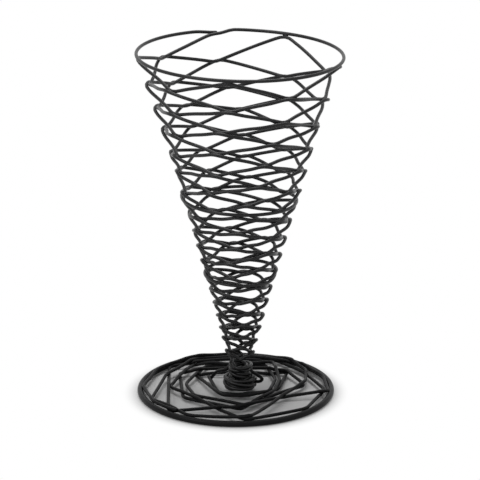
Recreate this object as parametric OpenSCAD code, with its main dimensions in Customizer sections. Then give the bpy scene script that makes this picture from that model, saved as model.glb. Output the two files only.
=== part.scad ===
// Wire cone for fries and appetizers on an open wire foot.
// A zigzag wire is wound into a cone that ends in a tight coil. A second one spreads out
// round the coil onto a floor ring. Front is -Y, the floor is z = 0, Z is the cone's axis.

/* [Wire] */
// Diameter of the zigzag wires
wire_d = 2.1; // [1.8:0.1:2.3]
// Play left where two wires cross, before they are welded
cross_play = 0.08; // [0.06:0.02:0.12]

/* [Cone] */
// Height of the rim's highest point above the floor
height = 230; // [210:1:250]
// Outside diameter of the rim
rim_d = 134; // [120:1:150]
// Outside diameter of the neck, at the cone's narrow end
neck_d = 17; // [16:0.5:22]
// Height of the neck above the floor
neck_z = 21; // [19:0.5:26]
// Flare of the side towards the rim, where 1 is a straight side
flare = 1.09; // [1:0.01:1.2]
// How far the rim sinks towards its right side
rim_dip = 2.5; // [0:0.5:3.5]
// Outside diameter of the tight coil below the neck
coil_d = 27; // [22:0.5:28]

/* [Weave of the cone] */
// Bends in one turn at the top, odd so that each bend meets one of the turn above
bends = 9; // [9, 11]
// Bends in one turn in the middle
mid_bends = 7; // [5, 7, 9]
// Bends in one turn at the bottom
low_bends = 5; // [5, 7]
// Way down from the rim to the middle zone
mid_at = 100; // [90:1:115]
// Way down from the rim to the bottom zone
low_at = 150; // [140:1:160]
// Degrees by which the columns of bends creep back in each turn
creep = 2.3; // [-2.5:0.1:2.5]
// Where the wire leaves the rim, in degrees from the front to the right
start_at = 195; // [0:5:355]
// Drop of the first turn under the rim
drop_top = 8.8; // [8.2:0.1:10]
// Drop of the last turn above the neck
drop_low = 3.9; // [3.8:0.1:5.2]
// How far each bend laps over the one that it is welded to
lap = 1.1; // [0.8:0.1:1.3]
// Unevenness of the hand-bent wire, as a share of a leg
uneven = 0.13; // [0:0.01:0.16]

/* [Foot] */
// Outside diameter of the floor ring
ring_d = 129; // [120:1:140]
// Diameter of the floor ring's rod
rod_d = 4; // [3:0.25:5]
// How far inside the rod's top the wire sits on it, in degrees round the rod
seat = 45; // [20:5:60]
// Spread of the foot's first turn, at the coil
spread_in = 6.3; // [6:0.1:7.5]
// Spread of its last turn, at the ring
spread_out = 13.5; // [12:0.5:15]
// Where the foot's wire leaves the coil, in degrees from the front to the right
foot_at = 20; // [0:5:355]
// How far the foot's centre lies to the right of the cone's axis
foot_shift = -2.8; // [-4:0.2:4]

/* [Hidden] */

sides = 5;                                  // flats round the wire
rounding = 0.85;                            // slope beside a bend, as a share of the leg's
end_lap = 9;                                // degrees by which the rim's free end overlaps
duck = 24;                                  // degrees in which the wire drops below that end
rim_n = 32;                                 // stretches of the rim, and of a plain turn
climb = 0.35;                               // where a plain turn climbs, in legs before a turn
coil_n = 16;                                // stretches in a turn of the coil
coil_gap = 1.3;                             // drop from the neck to the coil, in layers
coil_pitch = 1.02;                          // drop in a turn of the coil, in layers
layer = wire_d + cross_play;                // from one wire's centre to the next one's

rim_r = rim_d / 2 - wire_d / 2;
rim_z = height - wire_d / 2;
neck_r = neck_d / 2 - wire_d / 2;
neck_s = rim_z - neck_z;                    // way from the rim down to the neck

rod_r = ring_d / 2 - rod_d / 2;
seat_r = rod_r - (rod_d / 2 + wire_d / 2 + cross_play) * sin(seat);
seat_z = rod_d / 2 + (rod_d / 2 + wire_d / 2 + cross_play) * cos(seat);
foot_z = seat_z + layer;                    // upper layer of the foot, the lower is on the rod

coil_r = coil_d / 2 - wire_d / 2;
coil_top = neck_z - coil_gap * layer;
coil_h = coil_top - foot_z;
foot_r = coil_r + layer;                    // where the foot's weave begins
ring_s = seat_r - foot_r;

// The weave's outer layer lies on a side, and a place on it is its way s: down the cone
// from the rim, or out over the foot from the coil. The inner layer is one wire below.
function cone_r(z) = neck_r + (rim_r - neck_r) * pow(max(0, (z - neck_z) / neck_s), flare);
function side(s, foot) = foot ? [foot_r + s, foot_z] : [cone_r(rim_z - s), rim_z - s];
function outward(s, foot) =
    let (d = side(s + layer / 4, foot) - side(s - layer / 4, foot)) [-d.y, d.x] / norm(d);

// A zone is [bends in a turn, degrees where it starts, way to its first far bend, the first
// step, the reach, its last bend, the plain turn above it]. The step from turn to turn
// changes by the same share in each millimetre: t turns end at reach * ln(1 + first t / reach).
function way_of(zone, n) =
    zone[2] + zone[4] * ln(1 + zone[3] * (n - 1) / zone[0] / zone[4]);
function step_of(zone, n) = zone[3] * exp((zone[2] - way_of(zone, n)) / zone[4]);
function step_angle(zone) = (360 - creep) / zone[0];
function last_bend(zone, until) =
    2 * floor(zone[0] * zone[4] / zone[3] * (exp((until - zone[2]) / zone[4]) - 1) / 2) + 1;

// A plain turn is [degrees and way where it starts, way that it falls in a whole turn,
// degrees in a leg of the zone above].
function plain_way(plain, a) = plain[1] + plain[2] * (a - plain[0]) / 360;
function cone_zone(n, a, plain, until) =
    let (w = plain_way(plain, a + (360 - creep) / n - 360), d = drop_top * exp(-w / cone_reach),
         zone = [n, a, w + layer + d, d, cone_reach, 0, plain])
    [n, a, w + layer + d, d, cone_reach, last_bend(zone, until), plain];
// The plain turn after a zone laps over its last far bends, and goes on past its own start.
function next_zone(zone, n, until) =
    let (b = near_bend(zone[5] + 1, zone, false), step = step_angle(zone),
         fall = way_of(zone, zone[5] + 1) - way_of(zone, zone[5] + 1 - zone[0]),
         plain = [b.x, b.y, fall, step])
    cone_zone(n, b.x + 360 + max(end_lap, (360 - creep) / n - step), plain, until);

cone_reach = neck_s / ln(drop_top / drop_low);
top_zone = cone_zone(bends, start_at, [start_at - 360, 0, 0], mid_at);
mid_zone = next_zone(top_zone, mid_bends, low_at);
low_zone = next_zone(mid_zone, low_bends, neck_s);
foot_reach = (ring_s - spread_in) / ln(spread_in / spread_out);
// The foot's last bend is a far one too, on the ring after a whole turn there.
foot_start = [bends, foot_at, spread_in, spread_in, foot_reach, 0, [foot_at - 360, -layer, 0]];
foot_zone = [for (i = [0 : 6])
    i == 5 ? last_bend(foot_start, ring_s) + bends - 1 : foot_start[i]];

// Repeatable unevenness between -1 and 1 for bend n.
function wobble(n, salt) = sin(n * n * 41 + salt);
// Far bends have an odd n: [degrees, way]. Those that a plain turn laps over lie even.
function far_bend(n, zone, foot) =
    let (s = way_of(zone, n)
             + (n < zone[5] - zone[0] ? uneven * step_of(zone, n) * wobble(n, 70) : 0))
    [zone[1] + step_angle(zone) * (n + uneven / 2 * wobble(n, 0)), foot ? min(ring_s, s) : s];
// Near bends have an even n. Each laps over the far bend of the turn before. Those of the
// first turn hook in under the plain turn, or round the coil.
function near_bend(n, zone, foot) =
    let (a = zone[1] + step_angle(zone) * n)
    n < zone[0] ? [a, plain_way(zone[6], a - 360) + layer]
                : far_bend(n - zone[0], zone, foot) + [360 - creep, -lap];
function bend(n, zone, foot) =
    n % 2 == 0 ? near_bend(n, zone, foot) : far_bend(n, zone, foot);

// Share of a leg beside each bend on which the wire keeps to its layer, so that
// crossing wires have parted before they change sides.
most_hold = 0.41;
last_hold = [0.36, 0.46];   // near and far, in the turn that a plain turn laps over
function hold(r, rise, step) =
    let (lean = rise / (r * step * PI / 180))
    min(most_hold, max(0.22, (layer * sqrt(1 + lean * lean) + lap) / (2 * rise * rounding)));

// Point of the wire at a degrees and way s, in the outer layer for k = 0, inner for k = 1.
// The straight stretches of a leg sag inwards, more so where its step is wide.
function place(a, s, k, foot, step) =
    let (p = side(s, foot), q = outward(s, foot), sag = p.x * (1 - cos(step * 0.2)),
         r = p.x - q.x * k * (layer + sag), z = p.y - q.y * k * layer)
    [r * sin(a) + (foot ? foot_shift * (p.x - foot_r) / ring_s : 0), -r * cos(a),
     foot ? z : sunk(r * sin(a), z)];
// Height that a point of the cone keeps as the rim sinks towards the right.
function sunk(x, z) = z - rim_dip * (1 + x / rim_r) / 2 * pow(z / height, 2);

// The three points that leg n adds: its first bend and both ends of its slanted part. A
// leg goes round the cone, and straight across the foot.
function part_way(b, c, k, h, foot, step) =
    foot ? (1 - h) * place(b.x, b.y, k, foot, step) + h * place(c.x, c.y, k, foot, step)
         : place(b.x + h * (c.x - b.x), b.y + rounding * h * (c.y - b.y), k, foot, step);
function leg(n, zone, foot) =
    let (b = bend(n, zone, foot), c = bend(n + 1, zone, foot), k = n % 2, step = step_angle(zone),
         free = hold(side((b.y + c.y) / 2, foot).x, abs(c.y - b.y), step),
         h = foot || n < zone[5] - zone[0] ? [free, free] : last_hold)
    [place(b.x, b.y, k, foot, step), part_way(b, c, k, h[k], foot, step),
     part_way(c, b, 1 - k, h[1 - k], foot, step)];
// A weave ends on its last bend, or with the leg from there if a plain turn follows.
function weave(zone, foot, goes_on) =
    let (last = leg(zone[5], zone, foot))
    [for (i = [0 : zone[5] - 1]) each leg(i, zone, foot), each goes_on ? last : [last[0]]];
// The plain turn above a zone. In the end it climbs to the zone's first bend, which hooks
// in under the turn's own start.
function plain_turn(zone) =
    let (plain = zone[6], a = plain[0], b = a + 360 - climb * plain[3], c = zone[1],
         ways = [[a, plain[1]], [b, plain_way(plain, b)], [c, near_bend(0, zone, false).y]])
    [for (i = [0 : rim_n - 1]) let (w = a + (c - a) * i / rim_n)
        place(w, lookup(w, ways), 0, false, 0)];

// The rim is the cone wire's first turn. It runs plain and ducks under its own free end.
rim_from = start_at - 360 - end_lap;
rim_turn = [for (i = [0 : rim_n]) let (a = rim_from + (360 - duck) * i / rim_n)
    [rim_r * sin(a), -rim_r * cos(a), sunk(rim_r * sin(a), rim_z)]];
ducked = place(rim_from + 360, layer, 0, false, 0);

// The coil goes on from the cone's last bend, turn against turn, and bulges like a bud.
coil_from = bend(low_zone[5], low_zone, false).x + step_angle(low_zone);
coil_last = floor(coil_n * coil_h / (coil_pitch * layer));
coil = [for (i = [0 : coil_last])
    let (a = coil_from + 360 * i / coil_n,
         r = neck_r + (coil_r - neck_r) * sin(90 * i / coil_last))
    [r * sin(a), -r * cos(a), coil_top - coil_h * i / coil_last]];

function unit(v) = v / norm(v);
// Ring of points round the path's point i, square to the path there.
function section(path, i) =
    let (n = len(path),
         t = unit(path[min(n - 1, i + 1)] - path[max(0, i - 1)]),
         out = unit([path[i].x, path[i].y, 0]),
         u = unit(out - (out * t) * t), v = cross(t, u))
    [for (j = [0 : sides - 1])
        path[i] + wire_d / 2 * (cos(360 * j / sides) * u + sin(360 * j / sides) * v)];

// Round wire along a path, with a flat cut at both ends.
module wire(path) {
    n = len(path);
    points = [for (i = [0 : n - 1]) each section(path, i)];
    walls = [for (i = [0 : n - 2], j = [0 : sides - 1])
        let (k = (j + 1) % sides)
        [i * sides + j, (i + 1) * sides + j, (i + 1) * sides + k, i * sides + k]];
    first = [for (j = [0 : sides - 1]) j];
    last = [for (j = [sides - 1 : -1 : 0]) (n - 1) * sides + j];
    polyhedron(points, concat(walls, [first, last]), convexity = 10);
}

module cone_wire() {
    color("#1b1b1c") wire(concat(
        rim_turn, [ducked], weave(top_zone, false, true), plain_turn(mid_zone),
        weave(mid_zone, false, true), plain_turn(low_zone), weave(low_zone, false, false), coil));
}

module foot_wire() {
    color("#1b1b1c") wire(weave(foot_zone, true, false));
}

module floor_ring() {
    color("#1b1b1c") translate([foot_shift, 0, rod_d / 2])
        rotate_extrude($fn = 96) translate([rod_r, 0]) circle(d = rod_d, $fn = 32);
}

cone_wire();
foot_wire();
floor_ring();
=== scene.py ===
# Looks of the wire appetizer cone: smooth round wires, their welds, a black powder coat and
# a plain studio. Sizes are in millimetres and become metres when a mesh is made. The front
# is -Y, and angles are degrees from the front to the right.
import math

import bpy
import numpy as np
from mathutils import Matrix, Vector


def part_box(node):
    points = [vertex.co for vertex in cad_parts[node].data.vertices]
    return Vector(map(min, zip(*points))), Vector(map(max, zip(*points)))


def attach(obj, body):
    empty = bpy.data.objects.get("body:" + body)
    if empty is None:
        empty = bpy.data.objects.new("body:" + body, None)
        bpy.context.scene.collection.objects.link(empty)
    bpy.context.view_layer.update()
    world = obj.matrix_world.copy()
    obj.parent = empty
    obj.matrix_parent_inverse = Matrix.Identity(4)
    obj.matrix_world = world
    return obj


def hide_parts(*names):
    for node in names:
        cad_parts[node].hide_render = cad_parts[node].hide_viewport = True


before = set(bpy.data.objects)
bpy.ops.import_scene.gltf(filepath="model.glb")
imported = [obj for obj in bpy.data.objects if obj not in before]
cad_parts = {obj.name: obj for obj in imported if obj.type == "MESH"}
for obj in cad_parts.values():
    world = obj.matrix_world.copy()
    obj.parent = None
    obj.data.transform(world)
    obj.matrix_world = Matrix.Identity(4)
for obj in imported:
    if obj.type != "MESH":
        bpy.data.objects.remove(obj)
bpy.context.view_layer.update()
mm = 0.001                                   # metres in a millimetre


def nodeBox(node):
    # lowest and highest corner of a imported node, in millimetres
    low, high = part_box(node)
    return np.array(low) / mm, np.array(high) / mm


# What the frame gives: the rim and the floor ring set the reach of everything else.
coneLow, coneHigh = nodeBox("cone_wire")
ringLow, ringHigh = nodeBox("floor_ring")
rimTop = coneHigh[2]
rimAcross = (coneHigh - coneLow)[:2].min()
ringAcross = (ringHigh - ringLow)[:2].min()
rodAcross = ringHigh[2]
footShift = (ringLow[0] + ringHigh[0]) / 2
print("frame: nodes", ", ".join(sorted(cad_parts)))

# What both zigzag wires share.
zigzag = {
    "wire": 2.2,             # diameter
    "play": 0.01,            # between two wires that cross
    "creep": 2.3,            # degrees by which the columns of bends creep back in a turn
    "lap": 0.5,              # of a bend over the one that it is welded to
    "uneven": 0.13,          # unevenness of the hand-bent wire, as a share of a leg
    "corner": 2.2,           # length that a bend's rounding takes of each leg
    "rounder": 1.2,          # how much longer that grows on the way to the neck
    "rounded": (0.1, 0.36),  # least and most share of a leg that the rounding takes
    "hold": (0.2, 0.34),     # least and most share of a leg beside a bend in one layer
    "slant": 0.85,           # slope beside a bend, as a share of the leg's
    "level": 0.1,            # least rise of a leg that counts in that share
    "perLeg": 14,            # points of the path in a leg
    "flats": 16,             # round the wire
}
wireR = zigzag["wire"] / 2
layer = zigzag["wire"] + zigzag["play"]


def smoothStep(t):
    # 3 t^2 - 2 t^3 between 0 and 1, level at both ends
    t = np.clip(t, 0, 1)
    return t * t * (3 - 2 * t)


def polar(radius, angle, height, shift=0.0):
    # points at a radius and an angle round an axis that lies shifted along x
    turn = np.radians(angle)
    points = np.broadcast_arrays(shift + radius * np.sin(turn), -radius * np.cos(turn), height)
    return np.stack(points, -1)


def stepAngle(bends):
    # degrees from bend to bend where a turn has so many of them
    return (360 - zigzag["creep"]) / bends


def farWay(law, n):
    # way of far bend n where the step from turn to turn changes by the same share in each
    # millimetre: after t turns it is reach ln(1 + first t / reach)
    turn = (n - 1) / law["bends"]
    return law["from"] + law["reach"] * np.log(1 + law["first"] * turn / law["reach"])


def lastBendOf(law, until):
    # the last far bend that lies above a way
    turns = (math.exp((until - law["from"]) / law["reach"]) - 1) * law["reach"] / law["first"]
    return 2 * math.floor(law["bends"] * turns / 2) + 1


def bendsOf(law, lastBend):
    # Angle and way of the bends 0 to lastBend. Odd ones are far bends, with a repeatable
    # unevenness, the sine of 41 n^2 degrees. Even ones lap over the far bend of the turn
    # before, and those of the first turn hook in under the plain turn that leads to them
    n = np.arange(lastBend + 1)
    near = (n % 2 == 0) & (n > law["bends"])
    hook = (n % 2 == 0) & (n < law["bends"])
    far = np.where(near, n - law["bends"], n)
    stepWay = law["first"] * np.exp(-(farWay(law, far) - law["from"]) / law["reach"])
    sway = np.sin(np.radians(far * far * 41.0))
    rise = np.sin(np.radians(far * far * 41.0 + 70)) * (far < lastBend - law["bends"])
    way = np.minimum(law["limit"], farWay(law, far) + zigzag["uneven"] * stepWay * rise)
    angle = law["startAt"] + stepAngle(law["bends"]) * (far + zigzag["uneven"] / 2 * sway)
    way = np.where(near, way - zigzag["lap"], way)
    angle = np.where(near, angle + 360 - zigzag["creep"], angle)
    angle = np.where(hook, law["startAt"] + stepAngle(law["bends"]) * n, angle)
    way = np.where(hook, law["hook"](angle - 360), way)
    return angle, way


def throughBends(bends, share, perLeg):
    # A chain of straight legs that passes through the bends with rounded corners. A corner
    # is a parabola over the share w of its two legs: at the fraction f of a leg the straight
    # line gains w / 4 (1 - f / w)^2 times the corner's second difference. The corners are
    # pushed outwards first, until the tops of the parabolas lie on the bends
    corner = bends.copy()
    w = share[1:-1, None]
    for settling in range(12):
        corner[1:-1] = (4 * bends[1:-1] - w * (corner[:-2] + corner[2:])) / (4 - 2 * w)
    turning = np.zeros_like(corner)
    turning[1:-1] = corner[:-2] - 2 * corner[1:-1] + corner[2:]
    f = (np.arange(perLeg) / perLeg)[None, :, None]
    path = corner[:-1, None] + f * (corner[1:, None] - corner[:-1, None])
    w = share[:-1, None, None]
    path = path + w / 4 * np.maximum(0, 1 - f / w) ** 2 * turning[:-1, None]
    w = share[1:, None, None]
    path = path + w / 4 * np.maximum(0, 1 - (1 - f) / w) ** 2 * turning[1:, None]
    return path.reshape(-1, bends.shape[1])


def layerAlong(depth, hold):
    # From the depth of one bend to that of the next, 0 in the outer layer and 1 in the
    # inner one. A leg keeps to its layer for the share hold beside both bends and changes
    # over smoothly in between
    f = np.arange(zigzag["perLeg"])[None] / zigzag["perLeg"]
    over = smoothStep((f - hold[:, None]) / (1 - 2 * hold[:, None]))
    return (depth[:-1, None] + over * np.diff(depth)[:, None]).ravel()


def holdOf(length, rise):
    # share of a leg beside a bend in which two crossing wires have not parted yet
    part = layer * np.hypot(1, rise / length) + zigzag["lap"]
    slanted = 2 * zigzag["slant"] * np.maximum(rise, zigzag["level"])
    return np.clip(part / slanted, *zigzag["hold"])


def unit(vectors):
    return vectors / np.linalg.norm(vectors, axis=-1, keepdims=True)


def tube(path, radius, guide, flats):
    # A round section carried along a path: centre + radius (cos b u + sin b v), where u is
    # the guide made square to the path and v is square to both. Each cut end is rounded
    # over by three smaller sections and closed by a pole
    cutDepth = np.array([0.30, 0.20, 0.07])
    cutScale = np.array([0.60, 0.86, 0.97])
    along = unit(np.gradient(path, axis=0))
    side = unit(guide - (guide * along).sum(-1, keepdims=True) * along)
    scale = np.concatenate([cutScale, np.ones(len(path)), cutScale[::-1]])
    head = path[:1] - along[:1] * radius * cutDepth[:, None]
    tail = path[-1:] + along[-1:] * radius * cutDepth[::-1, None]
    centre = np.concatenate([head, path, tail])
    u = np.concatenate([np.repeat(side[:1], 3, 0), side, np.repeat(side[-1:], 3, 0)])
    t = np.concatenate([np.repeat(along[:1], 3, 0), along, np.repeat(along[-1:], 3, 0)])
    v = np.cross(t, u)
    b = np.linspace(0, 2 * np.pi, flats, endpoint=False)[None, :, None]
    wall = centre[:, None] + radius * scale[:, None, None] * (
        np.cos(b) * u[:, None] + np.sin(b) * v[:, None])
    poles = np.stack([head[0], tail[-1]])
    rings = len(centre)
    return np.concatenate([wall.reshape(-1, 3), poles]), tubeFaces(rings, flats)


def tubeFaces(rings, flats, closed=False):
    # quads between neighbouring sections, and fans from the last two points to the end
    # sections unless the tube closes on itself
    i = np.arange(rings if closed else rings - 1)[:, None]
    j = np.arange(flats)[None]
    here, there = i * flats, (i + 1) % rings * flats
    nextJ = (j + 1) % flats
    quads = np.stack([here + j, here + nextJ, there + nextJ, there + j], -1).reshape(-1, 4)
    if closed:
        return [quads]
    j, nextJ = j[0], nextJ[0]
    head = np.stack([nextJ, j, np.full(flats, rings * flats)], -1)
    last = (rings - 1) * flats
    tail = np.stack([last + j, last + nextJ, np.full(flats, rings * flats + 1)], -1)
    return [quads, head, tail]


def makePiece(name, points, faceSets, material):
    # arrays of points in millimetres and of faces become one smooth-shaded piece that
    # rides on the object's one body
    mesh = bpy.data.meshes.new(name)
    corners = np.concatenate([faces.ravel() for faces in faceSets]).astype(np.int32)
    totals = np.concatenate([np.full(len(faces), faces.shape[1]) for faces in faceSets])
    starts = np.concatenate([[0], np.cumsum(totals)[:-1]]).astype(np.int32)
    mesh.vertices.add(len(points))
    mesh.vertices.foreach_set("co", (points * mm).astype(np.float32).ravel())
    mesh.loops.add(len(corners))
    mesh.loops.foreach_set("vertex_index", corners)
    mesh.polygons.add(len(totals))
    mesh.polygons.foreach_set("loop_start", starts)
    mesh.polygons.foreach_set("use_smooth", np.ones(len(totals), bool))
    mesh.update(calc_edges=True)
    mesh.validate()
    mesh.materials.append(material)
    piece = bpy.data.objects.new(name, mesh)
    bpy.context.scene.collection.objects.link(piece)
    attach(piece, "root")
    print(f"{name}: {len(points)} points, {len(totals)} faces")
    return piece


class Value:
    # a socket that takes part in plain arithmetic, each step of which adds a Math node
    def __init__(self, shader, socket):
        self.shader = shader
        self.socket = socket

    def __add__(self, other):
        return self.shader.math("ADD", self, other)

    def __radd__(self, other):
        return self.shader.math("ADD", other, self)

    def __sub__(self, other):
        return self.shader.math("SUBTRACT", self, other)

    def __rsub__(self, other):
        return self.shader.math("SUBTRACT", other, self)

    def __mul__(self, other):
        return self.shader.math("MULTIPLY", self, other)

    def __rmul__(self, other):
        return self.shader.math("MULTIPLY", other, self)


class Shader:
    # the nodes of one material or of the world
    def __init__(self, owner):
        owner.use_nodes = True
        self.tree = owner.node_tree
        self.tree.nodes.clear()

    def node(self, kind, settings, inputs, output=0):
        # one node of any type: its settings first, then the values or links of its sockets
        made = self.tree.nodes.new(kind)
        for name, setting in settings.items():
            if name == "stops":
                self.setStops(made.color_ramp, setting)
            else:
                setattr(made, name, setting)
        for socket, given in inputs.items():
            if isinstance(given, Value):
                self.tree.links.new(given.socket, made.inputs[socket])
            else:
                made.inputs[socket].default_value = given
        return Value(self, made.outputs[output]) if made.outputs else made

    def setStops(self, ramp, stops):
        # stops are pairs of a place between 0 and 1 and a level
        ramp.elements[0].position, ramp.elements[-1].position = stops[0][0], stops[-1][0]
        for place, level in stops[1:-1]:
            ramp.elements.new(place)
        for element, (place, level) in zip(ramp.elements, stops):
            element.color = (level, level, level, 1)

    def math(self, operation, a, b):
        return self.node("ShaderNodeMath", {"operation": operation}, {0: a, 1: b})

    def blend(self, factor, a, b):
        # one colour into another
        return self.node("ShaderNodeMix", {"data_type": "RGBA"}, {0: factor, 6: a, 7: b}, 2)

    def ramp(self, value, *stops):
        return self.node("ShaderNodeValToRGB", {"stops": stops}, {0: value})

    def seen(self):
        # 1 where the eye looks straight, in a reflection or through glass, and else 0
        rays = [self.node("ShaderNodeLightPath", {}, {}, kind)
                for kind in ("Is Camera Ray", "Is Glossy Ray", "Is Transmission Ray")]
        return self.math("MINIMUM", rays[0] + rays[1] + rays[2], 1.0)

    def noise(self, at, scale, detail):
        return self.node("ShaderNodeTexNoise", {}, {
            "Vector": at, "Scale": scale, "Detail": detail})


# Powder coat: nearly black, satin, with the fine dimples of a baked powder.
coat = {
    "deep": (0.0060, 0.0060, 0.0065, 1),     # colour where the coat is thick
    "thin": (0.0110, 0.0110, 0.0116, 1),     # colour where it is thin
    "gloss": 0.26,                           # strength of its reflections
    "sheen": 0.32,                           # roughness of an untouched stretch
    "spread": 0.12,                          # how much the roughness varies
    "patches": 55,                           # per metre
    "dimples": 1300,                         # per metre
    "grains": 5200,                          # per metre
    "grainGloss": 0.5,                       # share of the grains in the roughness
    "grainRelief": 0.35,                     # and in the relief
    "depth": 0.00007,                        # of the dimples, in metres
    "relief": 0.55,                          # strength of the relief
    "scuffed": (0.05, 0.05, 0.05, 1),        # colour where the floor has rubbed it
    "scuffRough": 0.25,                      # and how much rougher it is there
    "scuffFull": 0.4,                        # share of a scuff's height where it is full
    "scuffStops": ((0.42, 0.3), (0.60, 1.0)),   # how the dimples break it up
}


def coatMaterial(name, rougher=0.0, relief=1.0, paintedShadeGloss=1.0, scuffedBelow=None):
    # The coat's colour and gloss drift in patches, dimples and grains give the relief, and a
    # piece that stands on the floor is scuffed dull below a height. A copy with weaker
    # reflections looks darker, as painted shade
    material = bpy.data.materials.new(name)
    shader = Shader(material)
    at = shader.node("ShaderNodeTexCoord", {}, {}, "Object")
    patches = shader.noise(at, coat["patches"], 3)
    dimples = shader.noise(at, coat["dimples"], 2)
    grains = shader.noise(at, coat["grains"], 1)
    colour = shader.blend(patches, coat["deep"], coat["thin"])
    mixed = patches + grains * coat["grainGloss"] - 0.5
    roughness = coat["sheen"] + rougher + coat["spread"] * mixed
    if scuffedBelow is not None:
        height = shader.node("ShaderNodeSeparateXYZ", {}, {0: at}, 2)
        low = shader.node("ShaderNodeMapRange", {"interpolation_type": "SMOOTHSTEP"}, {
            "Value": height, "From Min": scuffedBelow * coat["scuffFull"] * mm,
            "From Max": scuffedBelow * mm, "To Min": 1.0, "To Max": 0.0})
        rubbed = low * shader.ramp(dimples, *coat["scuffStops"])
        colour = shader.blend(rubbed, colour, coat["scuffed"])
        roughness = roughness + rubbed * coat["scuffRough"]
    bump = shader.node("ShaderNodeBump", {}, {
        "Strength": coat["relief"] * relief, "Distance": coat["depth"],
        "Height": dimples + grains * coat["grainRelief"]})
    surface = shader.node("ShaderNodeBsdfPrincipled", {}, {
        "Base Color": colour, "Roughness": roughness,
        "Specular IOR Level": coat["gloss"] * paintedShadeGloss, "Normal": bump})
    shader.node("ShaderNodeOutputMaterial", {}, {"Surface": surface})
    return material


wireCoat = coatMaterial("wireCoat")
# The foot's and the rod's copies reflect less and look darker: painted shade for the parts low
# under the cone. The rod's scuffing below is real wear
footShadedCoat = coatMaterial("footShadedCoat", rougher=0.04, paintedShadeGloss=0.25)
rodScuffedShadedCoat = coatMaterial("rodScuffedShadedCoat", relief=1.2, paintedShadeGloss=0.3, scuffedBelow=1.3)
weldCoat = coatMaterial("weldCoat", rougher=0.08, relief=1.8)
print("materials: wireCoat, footShadedCoat, rodScuffedShadedCoat, weldCoat")


# The cone's wire: a plain rim turn, the zigzag turns down the flaring side, and the bud.
cone = {
    "neck": 17,              # outside diameter at the narrow end
    "neckHeight": 21,        # above the floor
    "flare": 1.09,           # of the side towards the rim, where 1 is straight
    "rimDip": 2.5,           # how far the rim sinks towards the right
    "startAt": 195,          # where the wire leaves the rim
    "bends": (9, 7, 5),      # in a turn, from the top down
    "until": (100, 150),     # way down from the rim at which their number changes
    "firstDrop": 8.8,        # from turn to turn under the rim
    "lastDrop": 3.9,         # and above the neck
    "endLap": 1.2,           # degrees by which the rim's free end overlaps
    "startLap": 9,           # and by which a plain turn overlaps its own start
    "duck": 11,              # degrees in which the wire drops inside and below that end
    "endDip": (1.2, 14),     # how far that end dips itself, and in how many degrees
    "straight": (0.75, 0.3, 0.12),   # how straight its legs are in each zone, 0 is round
    "blunt": 0.1,            # how blunt the corners between them are, as a share of half a leg
    "fade": 5.0,             # way in which that comes in after a plain turn
    "climb": 0.35,           # where a plain turn climbs, in legs before its own start
    "rimPoints": 160,        # of the path round the rim
    "plainPoints": 9,        # of the chain in a plain turn between two zones
}
# The bud that the wire ends in under the neck: a tight tangle, then wider turns round it.
# Its turns run through one another. They aren't laid out to clear each other.
bud = {
    "turns": (0.0, 0.6, 2.6, 4.6, 5.8, 8.6, 9.6, 14.4),        # where the next lines hold
    "radius": (7.4, 6.4, 5.3, 4.7, 5.4, 6.4, 9.1, 9.1),        # of the turns
    "height": (18.7, 18.2, 16.8, 13.6, 8.6, 8.0, 7.5, 7.5),    # of their middles
    "tilt": (0.0, 1.6, 2.7, 2.6, 2.5, 2.6, 3.1, 3.1),          # up and down from it
    "wobble": (0.0, 0.8, 1.2, 1.2, 1.2, 1.2, 1.3, 1.3),        # in and out
    "drift": 0.6,            # tilts in a turn
    "uneven": 0.35,          # unevenness in radius and height
    "beats": 1.37,           # of that unevenness in a turn
    "perTurn": 48,           # points of the path
}
rimR = rimAcross / 2 - wireR
rimZ = rimTop - wireR
neckR = cone["neck"] / 2 - wireR
neckWay = rimZ - cone["neckHeight"]


def coneRadius(height):
    # neck + (rim - neck) h^flare, with h the share of the height above the neck
    share = np.maximum(0, (height - cone["neckHeight"]) / neckWay)
    return neckR + (rimR - neckR) * share ** cone["flare"]


def sunk(x, height):
    # the rim sinks towards the right, and less and less of it reaches the turns below
    return height - cone["rimDip"] * (1 + x / rimR) / 2 * (height / rimTop) ** 2


def flattened(angle, way):
    # Straight legs make each turn a polygon with a corner at every column of bends: with half
    # a leg's angle h, the radius is cos h / cos(h c), where c runs from 0 in the middle of a
    # leg to 1 at the corner. The columns creep back on the way down, as the bends do
    shrink = np.ones(np.broadcast(angle, way).shape)
    for zone, straight in zip(zones, cone["straight"]):
        law = zone["law"]
        turn = (np.exp((way - law["from"]) / law["reach"]) - 1) * law["reach"] / law["first"]
        column = law["startAt"] - zigzag["creep"] * (turn + 1 / law["bends"])
        part = (angle - column) * law["bends"] / 360 % 1
        corner = 1 - np.abs(2 * part - 1)
        c = 1 - (np.sqrt(corner ** 2 + cone["blunt"] ** 2) - cone["blunt"])
        half = math.pi / law["bends"]
        below = smoothStep((way - law["from"] + law["first"] + layer) / cone["fade"])
        above = smoothStep((zone["way"].max() - law["first"] / 2 - way) / cone["fade"])
        if zone is zones[-1]:
            above = 1
        shrink = shrink - straight * below * above * (1 - math.cos(half) / np.cos(half * c))
    return shrink


def onCone(angle, way, depth):
    # point at a way down from the rim, depth layers inside the outer layer
    height = rimZ - way
    slope = (coneRadius(height + layer / 4) - coneRadius(height - layer / 4)) / (layer / 2)
    square = np.hypot(1, slope)
    radius = coneRadius(height) * flattened(angle, way) - depth * layer / square
    points = polar(radius, angle, height + depth * layer * slope / square)
    points[..., 2] = sunk(points[..., 0], points[..., 2])
    return points


def dropAt(way):
    # the drop from turn to turn on the way down
    return cone["firstDrop"] * np.exp(-way / coneReach)


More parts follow.
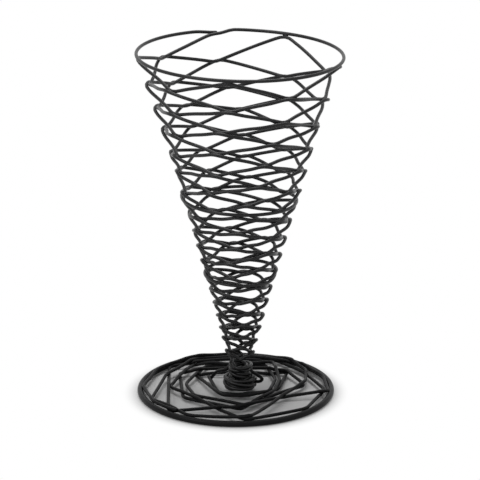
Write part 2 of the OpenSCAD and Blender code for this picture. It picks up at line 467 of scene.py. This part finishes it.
def coneZones():
    # Each zone starts with a plain turn, which is the rim for the first one, and its number
    # of bends in a turn stays. The plain turn of the next zone laps over the last far bends
    zones = []
    start, plain = cone["startAt"], [cone["startAt"] - 360, 0, 0]
    for bends, until in zip(cone["bends"], (*cone["until"], neckWay)):
        where, lead, fall = plain
        first = lead + fall * (start + stepAngle(bends) - 360 - where) / 360
        law = {"bends": bends, "startAt": start, "reach": coneReach, "limit": neckWay + layer,
               "from": first + layer + dropAt(first), "first": dropAt(first),
               "hook": lambda angle, w=where, l=lead, f=fall: l + f * (angle - w) / 360 + layer}
        last = lastBendOf(law, until)
        angle, way = bendsOf(law, last + 1)
        zones.append({"law": law, "last": last, "angle": angle[:-1], "way": way[:-1],
                      "plain": plain})
        plain = [angle[-1], way[-1], farWay(law, last + 1) - farWay(law, last + 1 - bends)]
        after = min(len(zones), len(cone["bends"]) - 1)
        wider = stepAngle(cone["bends"][after]) - stepAngle(bends)
        start = angle[-1] + 360 + max(cone["startLap"], wider)
    return zones


coneReach = neckWay / math.log(cone["firstDrop"] / cone["lastDrop"])
zones = coneZones()


def coneChain():
    # angle, way and depth of every bend, with plain turns between the zones
    angle = [[zones[0]["angle"][0] - stepAngle(cone["bends"][0])]]
    way = [[layer]]
    depth = [[0]]
    for above, zone in zip([None] + zones, zones):
        where, lead, fall = zone["plain"]
        if above:
            stop = where + 360 - cone["climb"] * stepAngle(above["law"]["bends"])
            turn = np.linspace(where, stop, cone["plainPoints"])
            angle.append(turn)
            way.append(lead + fall * (turn - where) / 360)
            depth.append(0 * turn)
        angle.append(zone["angle"])
        way.append(zone["way"])
        depth.append(np.arange(zone["last"] + 1) % 2)
    depth[1][0] = 1                          # the first hook ducks in under the rim's end
    angle.append([angle[-1][-1] + stepAngle(cone["bends"][-1])])
    way.append(way[-1][-1:])
    depth.append([1])
    return (np.concatenate(part).astype(float) for part in (angle, way, depth))


def conePath():
    # the rim at way 0, then a level leg that ducks in under the rim's free end, the zigzag
    # legs, and a last level leg that swings over into the bud
    angle, way, depth = coneChain()
    rimFrom = cone["startAt"] - 360 - cone["endLap"]
    rimAngle = np.linspace(rimFrom, angle[0], cone["rimPoints"], endpoint=False)
    length = coneRadius(rimZ - (way[1:] + way[:-1]) / 2) * np.radians(np.diff(angle))
    rise = np.abs(np.diff(way))
    corner = zigzag["corner"] * (1 + zigzag["rounder"] * way[1:] / neckWay)
    share = corner / np.hypot(length, rise)
    share = np.clip(np.concatenate([share, share[-1:]]), *zigzag["rounded"])
    path = throughBends(np.stack([angle, way], -1), share, zigzag["perLeg"])
    depth = layerAlong(depth, holdOf(length, rise))
    ducked = smoothStep((path[:, 0] - rimFrom - 360 + cone["duck"]) / cone["duck"])
    way = path[:, 1] - layer * (1 - ducked)
    weave = onCone(path[:, 0], way, depth)
    tangle = budPath(angle[-1])
    swing = smoothStep(np.arange(zigzag["perLeg"]) / zigzag["perLeg"])[:, None]
    last = weave[-zigzag["perLeg"]:]
    heading = polar(neckR, path[-zigzag["perLeg"]:, 0], tangle[0, 2])
    weave[-zigzag["perLeg"]:] = (1 - swing) * last + swing * heading
    dip, dipTurn = cone["endDip"]
    rimWay = dip * (1 - smoothStep((rimAngle - rimFrom) / dipTurn))
    return np.concatenate([onCone(rimAngle, rimWay, 0), weave, tangle])


def budPath(fromAngle):
    # Each turn leans another way than the one before: height = middle + tilt cos w and
    # radius = middle + wobble sin w, where w grows by the drift in every turn. The tables
    # are eased over half a turn
    count = round(bud["turns"][-1] * bud["perTurn"]) + 1
    t = np.arange(count) / bud["perTurn"]
    across = np.hanning(bud["perTurn"] // 2 + 1)
    ease = [np.convolve(np.pad(np.interp(t, bud["turns"], bud[name]), len(across) // 2, "edge"),
                        across / across.sum(), "valid")
            for name in ("radius", "height", "tilt", "wobble")]
    radius, height, tilt, wobble = ease
    w = 2 * np.pi * bud["drift"] * t
    uneven = bud["uneven"] * np.sin(2 * np.pi * bud["beats"] * t) * np.minimum(1, t)
    return polar(radius + wobble * np.sin(w) + uneven, fromAngle + 360 * t,
                 height + tilt * np.cos(w) + uneven)


# The foot's wire: from the bud it spreads in flat, uneven zigzag turns onto the floor ring.
# It was bent by hand, so the places of its bends follow no law. Its start cuts into the bud.
foot = {
    "start": [               # angle, distance from the cone's axis and height: round the neck
        (98, 9.5, 6.4), (93, 13.3, 7.0), (87, 14.3, 9.4), (82, 11.0, 12.6), (72, 7.6, 15.6),
        (120, 7.6, 16.4), (175, 7.4, 17.0), (228, 7.4, 17.0), (268, 9.0, 15.6),
        (246, 16.5, 11.5)],
    "bends": [               # angle and distance from the ring's middle, from the bud on
        (225, 25.3), (312, 14.4), (4, 14.8), (52, 18.2), (88, 28), (131, 44), (178, 27),
        (226, 36), (324, 17.5), (20, 18.2), (67, 23.5), (117, 29), (156, 46), (205, 44.8),
        (261, 32.6), (303, 31), (10, 31.5), (62, 29.5), (96, 44.6), (131, 43), (172, 34),
        (234, 45), (297, 37.4), (4, 38.8), (67, 26.6), (112, 31), (150, 48), (185, 40),
        (212, 51.5), (271, 42.2), (6, 60.3), (48, 60.3), (85, 57.5), (120, 52.7), (152, 57.8),
        (190, 51), (229, 58), (313, 58.1), (0, 40.5), (60, 35.5), (80, 60.3), (108, 60.3),
        (134, 60.3), (172, 56), (205, 58.1), (248, 49.5), (292, 58.1), (330, 60.3),
        (8, 60.3), (61, 35.8), (98, 45.6), (121, 54), (146, 60.3), (180, 60.3), (212, 60.3),
        (240, 60.3), (270, 60.3), (298, 60.3), (322, 60.3)],
    "corner": 4.0,           # length that a bend's rounding takes of each leg
    "rounded": (0.08, 0.45), # least and most share of a leg that the rounding takes
    "perLeg": 24,            # points of the path in a leg
    "seat": 45,              # degrees inside the rod's top at which it sits on the rod
    "sunk": 0.4,             # how far its rest lies below that seat
    "apart": 2.24,           # between the middles of two wires that cross
    "rounds": 160,           # of pushing crossing wires apart
    "smoothed": 150,         # how many of them, from the first on, smooth the wire as well
    "push": 0.5,             # share of a lack of room by which each of two wires gives way
    "stiff": 3,              # how far the wire carries a lift along, in rounds of smoothing
    "sag": 0.01,             # share of its lift that it loses in a round
}
rodR = ringAcross / 2 - rodAcross / 2
seatReach = rodAcross / 2 + layer - wireR
seatR = rodR - seatReach * math.sin(math.radians(foot["seat"]))
seatZ = rodAcross / 2 + seatReach * math.cos(math.radians(foot["seat"]))


def crossings(path):
    # Pairs of path points, far apart along the wire, that cross in plan: the earlier point,
    # the later one, and how much higher the later one has to be to clear it
    gap = np.linalg.norm(path[:, None, :2] - path[None, :, :2], axis=-1)
    order = np.arange(len(path))
    later = order[None] - order[:, None] > foot["perLeg"] // 2
    laid = order >= foot["perLeg"] * len(foot["start"])
    low, high = np.nonzero(later & laid[:, None] & (gap < foot["apart"]))
    return low, high, np.sqrt(foot["apart"] ** 2 - gap[low, high] ** 2)


def settle(path):
    # Heights of the wire as it lies: it rests in the ring's height, rides over the rod, and
    # each turn passes over the turns laid before it. Pairs that cross are pushed apart and
    # the wire is smoothed along its length, turn about: its lift becomes a quarter of both
    # neighbours' and half of its own
    low, high, lift = crossings(path)
    off = np.abs(np.hypot(path[:, 0] - footShift, path[:, 1]) - rodR)
    clear = rodAcross / 2 + wireR + zigzag["play"]
    floorZ = np.where(off < clear, rodAcross / 2 + np.sqrt(np.maximum(0, clear ** 2 - off ** 2)),
                      wireR)
    rest = np.where(path[:, 2] > seatZ, path[:, 2], seatZ - foot["sunk"])
    z = np.maximum(floorZ, rest)
    for settling in range(foot["rounds"]):
        lack = np.maximum(0, z[low] + lift - z[high])
        up = np.zeros(len(z))
        down = np.zeros(len(z))
        np.maximum.at(up, high, lack)
        np.maximum.at(down, low, lack)
        z = np.maximum(floorZ, z + foot["push"] * (up - down))
        if settling < foot["smoothed"]:
            for smoothing in range(foot["stiff"]):
                lean = z - rest
                z[1:-1] += 0.25 * (lean[:-2] - 2 * lean[1:-1] + lean[2:])
            z = np.maximum(floorZ, z + foot["sag"] * (rest - z))
    return z


def footPath():
    # straight legs from bend to bend, rounded at the bends and settled in height
    angle, reach = np.array(foot["bends"]).T
    aside, out, height = np.array(foot["start"]).T
    bends = np.concatenate([polar(out, aside, height), polar(reach, angle, 0, footShift)])
    length = np.linalg.norm(np.diff(bends, axis=0), axis=-1)
    share = foot["corner"] / length
    share = np.clip(np.concatenate([share, share[-1:]]), *foot["rounded"])
    path = throughBends(bends, share, foot["perLeg"])
    path[:, 2] = settle(path)
    return path


conePoints = conePath()
outwards = conePoints * (1, 1, 0)
coneWire = makePiece("coneWire", *tube(conePoints, wireR, outwards, zigzag["flats"]), wireCoat)
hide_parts("cone_wire")

footPoints = footPath()
upwards = np.broadcast_to([0.0, 0.0, 1.0], footPoints.shape)
footWire = makePiece("footWire", *tube(footPoints, wireR, upwards, zigzag["flats"]), footShadedCoat)
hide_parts("foot_wire")

# The floor ring: one rod bent round and butt welded at the back.
rod = {
    "around": 360,           # sections of the ring
    "flats": 32,             # round the rod
    "weldAt": 172,           # angle of the butt weld
    "weldWidth": 2.6,        # degrees
    "weldHeight": 0.05,      # of its swelling, as a share of the rod's radius
    "groove": 0.35,          # depth of the grooves beside it, as a share of the swelling
    "grooveAt": 1.9,         # weld widths from its middle
    "grooveTight": 3,        # how narrow they are
    "weldSide": 130,         # degrees round the rod where it swells most, inwards and up
}


def ringPoints():
    # A torus whose section swells at the weld: radius (1 + height bell(angle) facing(b)),
    # where bell is e^-x^2 in weld widths x, less a narrower one on either side
    a = np.linspace(0, 360, rod["around"], endpoint=False)[:, None]
    b = np.linspace(0, 360, rod["flats"], endpoint=False)[None]
    away = (a - rod["weldAt"]) / rod["weldWidth"]
    beside = (np.abs(away) - rod["grooveAt"]) ** 2 * rod["grooveTight"]
    bell = np.exp(-away ** 2) - rod["groove"] * np.exp(-beside)
    facing = np.maximum(0, np.cos(np.radians(b - rod["weldSide"])))
    radius = rodAcross / 2 * (1 + rod["weldHeight"] * bell * facing)
    out = rodR + radius * np.cos(np.radians(b))
    height = rodAcross / 2 + radius * np.sin(np.radians(b))
    return polar(out, a, height, footShift).reshape(-1, 3)


floorRing = makePiece("floorRing", ringPoints(), tubeFaces(rod["around"], rod["flats"], True),
                      rodScuffedShadedCoat)
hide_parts("floor_ring")

# The welds: a small bead where two zigzag wires are joined. The foot's seat on the rod and
# the bud have none.
weld = {
    "long": 2.3,             # half length along the wires, at most
    "share": 0.04,           # half length as a share of the radius that it lies on
    "least": 0.9,            # and at least
    "thick": 1.1,            # half thickness through both layers
    "high": 1.0,             # half height across the wires
    "vary": 0.13,            # how much their sizes differ
    "varyStep": 1.7,         # radians, times the square of a bead's number
    "footCrossing": 0.97,    # share of the foot's full lift from which a crossing is welded
    "footApart": 5,          # least distance between two of the foot's
    "footRadius": 20.0,      # that the size of the foot's is taken from
    "rows": 6,               # of faces on a bead
    "columns": 8,
}


def beads(centre, alongHalf, acrossHalf, throughHalf):
    # Ellipsoids on three half axes: centre + cos p (cos q a + sin q b) + sin p c, with
    # p from pole to pole and q round. Each one's size differs a little
    count = len(centre)
    swing = np.sin(np.arange(count) ** 2 * weld["varyStep"])
    size = 1 + weld["vary"] * swing[:, None, None, None]
    p = np.linspace(-90, 90, weld["rows"] + 1)[1:-1]
    p, q = np.radians(np.meshgrid(p, np.arange(weld["columns"]) * 360 / weld["columns"],
                                  indexing="ij"))
    a, b, c = (half[:, None, None] for half in (alongHalf, acrossHalf, throughHalf))
    p, q = p[None, ..., None], q[None, ..., None]
    shell = size * (np.cos(p) * (np.cos(q) * a + np.sin(q) * b) + np.sin(p) * c)
    shell = (centre[:, None, None] + shell).reshape(count, -1, 3)
    ends = centre[:, None] + size[:, 0] * np.stack([-throughHalf, throughHalf], 1)
    points = np.concatenate([shell, ends], 1)
    base = (np.arange(count) * points.shape[1])[:, None, None]
    faceSets = [faces[None] + base for faces in beadFaces()]
    return points.reshape(-1, 3), [faces.reshape(-1, faces.shape[-1]) for faces in faceSets]


def beadFaces():
    # the same faces as a short tube's, turned to face outwards
    return [faces[:, ::-1] for faces in tubeFaces(weld["rows"] - 1, weld["columns"])]


def halfAxes(angle, radius, through):
    # along the wires, across them and through the layers, square to each other
    long = np.clip(weld["share"] * radius, weld["least"], weld["long"])
    along = polar(1, angle + 90, 0)
    across = np.cross(through, along)
    return along * long[:, None], across * weld["high"], through * weld["thick"]


def coneWelds():
    # one between each near bend and the far bend of the turn above, and under the rim
    angle, way, depth = [], [], []
    for zone in zones:
        bends, last = zone["law"]["bends"], zone["last"]
        near = np.arange(bends + 1, last + 1, 2)
        hook = np.arange(0, bends, 2)
        under = np.arange(last + 1 - bends, last + 1, 2)
        angle += [zone["angle"][near] + zigzag["creep"] / 2, zone["angle"][hook],
                  zone["angle"][under]]
        way += [zone["way"][near] + zigzag["lap"] / 2, zone["way"][hook] - layer / 2,
                zone["way"][under] - zigzag["lap"] / 2]
        depth += [0 * near + 0.5, 0 * hook, 0 * under + 0.5]
    angle, way, depth = (np.concatenate(part) for part in (angle, way, depth))
    centre = onCone(angle, way, depth)
    inside = onCone(angle, way, depth + 0.5)
    radius = np.hypot(centre[:, 0], centre[:, 1])
    return beads(centre, *halfAxes(angle, radius, unit(centre - inside)))


def footWelds():
    # one where the wire crosses an earlier stretch of itself
    low, high, lift = crossings(footPoints)
    tight = lift > weld["footCrossing"] * foot["apart"]
    spot = (footPoints[low[tight]] + footPoints[high[tight]]) / 2
    close = np.linalg.norm(spot[:, None] - spot[None], axis=-1) < weld["footApart"]
    first = ~np.any(np.tril(close, -1), axis=1)
    centre = spot[first]
    angle = np.degrees(np.arctan2(centre[:, 0] - footShift, -centre[:, 1]))
    through = np.broadcast_to([0.0, 0.0, 1.0], centre.shape)
    radius = np.full(len(angle), weld["footRadius"])
    return beads(centre, *halfAxes(angle, radius, through))


makePiece("coneWelds", *coneWelds(), weldCoat)
makePiece("footWelds", *footWelds(), footShadedCoat)
print("weave:", [zone["last"] for zone in zones], "and", len(foot["bends"]) - 1, "legs")

# The studio: a wide pale grey floor, seen grey only round the foot as painted shade and white
# further off, a soft light overhead, a weaker one at the front left.
studio = {
    "eye": (0.0, -1.7345, 0.6689),           # camera, metres
    "lookAt": (0.0, 0.0, 0.10462),
    "lens": 212.0,
    "sensor": 36,                            # millimetres wide
    "floorSize": 6.0,
    # grey that the eye sees only round the foot, where it is painted shade
    "floor": (0.62, 0.62, 0.62, 1),
    "shade": 58.0,                           # radius round the foot where the grey floor shows, as painted shade
    "white": 76.0,                           # and where it has faded to white for the eye
    "fill": 0.28,                            # level of the surroundings' light
}
lamps = {
    "overhead": {"at": (0.0, 0.25, 1.55), "to": (0, 0, 0), "size": 0.9, "watts": 15.0},
    "frontLeft": {"at": (-1.2, -1.1, 1.1), "to": (0, 0, 0.1), "size": 0.8, "watts": 9.0},
}


def floorMaterial():
    # A plain grey floor that keeps the shadow in the foot and round it. Its grey shows to the
    # eye only there, as painted shade on top of that shadow. Further off it fades to white, for
    # the eye and in reflections
    material = bpy.data.materials.new("floorPale")
    shader = Shader(material)
    seen = shader.seen()
    at = shader.node("ShaderNodeTexCoord", {}, {}, "Object")
    off = shader.node("ShaderNodeVectorMath", {"operation": "DISTANCE"},
                      {0: at, 1: (footShift * mm, 0, 0)}, "Value")
    # painted shade: the grey floor shows only within this radius of the foot, then fades to
    # white
    paintedShadeFade = shader.node("ShaderNodeMapRange", {"interpolation_type": "SMOOTHERSTEP"}, {
        "Value": off, "From Min": studio["shade"] * mm, "From Max": studio["white"] * mm})
    pale = shader.node("ShaderNodeBsdfDiffuse", {}, {"Color": studio["floor"]})
    white = shader.node("ShaderNodeEmission", {}, {"Color": (1, 1, 1, 1), "Strength": 1.0})
    both = shader.node("ShaderNodeMixShader", {}, {0: seen * paintedShadeFade, 1: pale, 2: white})
    shader.node("ShaderNodeOutputMaterial", {}, {"Surface": both})
    return material


def makeFloor():
    half = studio["floorSize"] / 2
    mesh = bpy.data.meshes.new("floor")
    corners = [(-half, -half, 0), (half, -half, 0), (half, half, 0), (-half, half, 0)]
    mesh.from_pydata(corners, [], [(0, 1, 2, 3)])
    mesh.materials.append(floorMaterial())
    floor = bpy.data.objects.new("floor", mesh)
    bpy.context.scene.collection.objects.link(floor)


def aim(thing, at, to):
    thing.location = at
    thing.rotation_euler = (Vector(to) - Vector(at)).to_track_quat("-Z", "Y").to_euler()
    bpy.context.scene.collection.objects.link(thing)


def makeLamp(name, lamp):
    light = bpy.data.lights.new(name, "AREA")
    light.size = lamp["size"]
    light.energy = lamp["watts"]
    aim(bpy.data.objects.new(name, light), lamp["at"], lamp["to"])


def makeWorld():
    # white for the eye and in reflections that the eye sees, a soft fill for all else
    world = bpy.data.worlds.new("surroundings")
    shader = Shader(world)
    seen = shader.seen()
    level = seen * (1 - studio["fill"]) + studio["fill"]
    sky = shader.node("ShaderNodeBackground", {}, {"Color": (1, 1, 1, 1), "Strength": level})
    shader.node("ShaderNodeOutputWorld", {}, {"Surface": sky})
    bpy.context.scene.world = world


def makeCamera():
    camera = bpy.data.cameras.new("camera")
    camera.lens = studio["lens"]
    camera.sensor_width = studio["sensor"]
    eye = bpy.data.objects.new("camera", camera)
    aim(eye, studio["eye"], studio["lookAt"])
    bpy.context.scene.camera = eye


makeFloor()
for lampName, lampSizes in lamps.items():
    makeLamp(lampName, lampSizes)
makeWorld()
makeCamera()
bpy.context.scene.view_settings.view_transform = "Standard"
print("studio: floor, lamps", ", ".join(lamps), "and camera")
